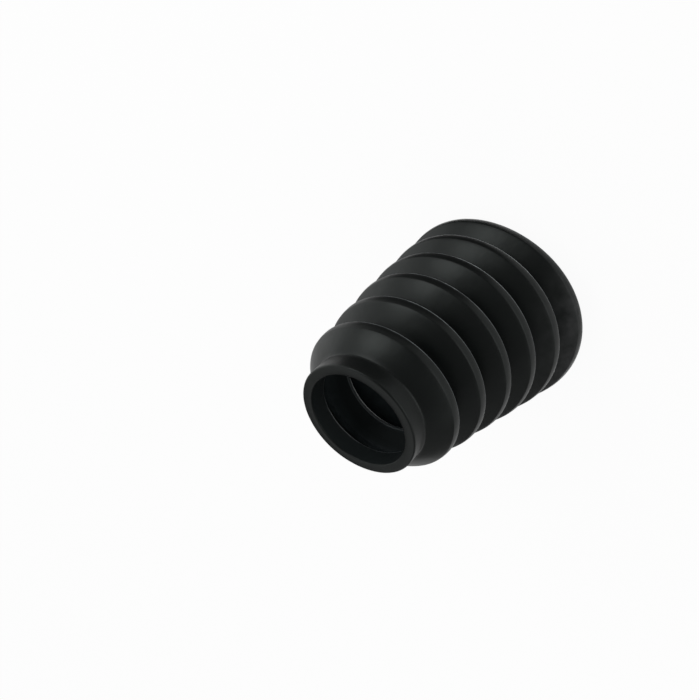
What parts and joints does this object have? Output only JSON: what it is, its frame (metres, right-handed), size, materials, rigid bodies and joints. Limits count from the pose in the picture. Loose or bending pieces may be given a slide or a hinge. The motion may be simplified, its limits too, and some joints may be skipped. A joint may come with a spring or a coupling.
{
  "type": "rubber bellows boot",
  "caption": "Conical rubber bellows with a plain collar at each end, which keeps dirt out of a moving joint or shaft and is held by straps round its collars.",
  "frame": {"origin": "middle of the large end face, on the axis; the boot stands on that face", "axes": "+Z along the axis, from the large end to the small end"},
  "size_m": [0.0996, 0.0996, 0.1196],
  "materials": {
    "moulded_rubber": "satin, moulded"
  },
  "bodies": {
    "root": {"bellows_boot": "moulded_rubber"}
  },
  "joints": []
}
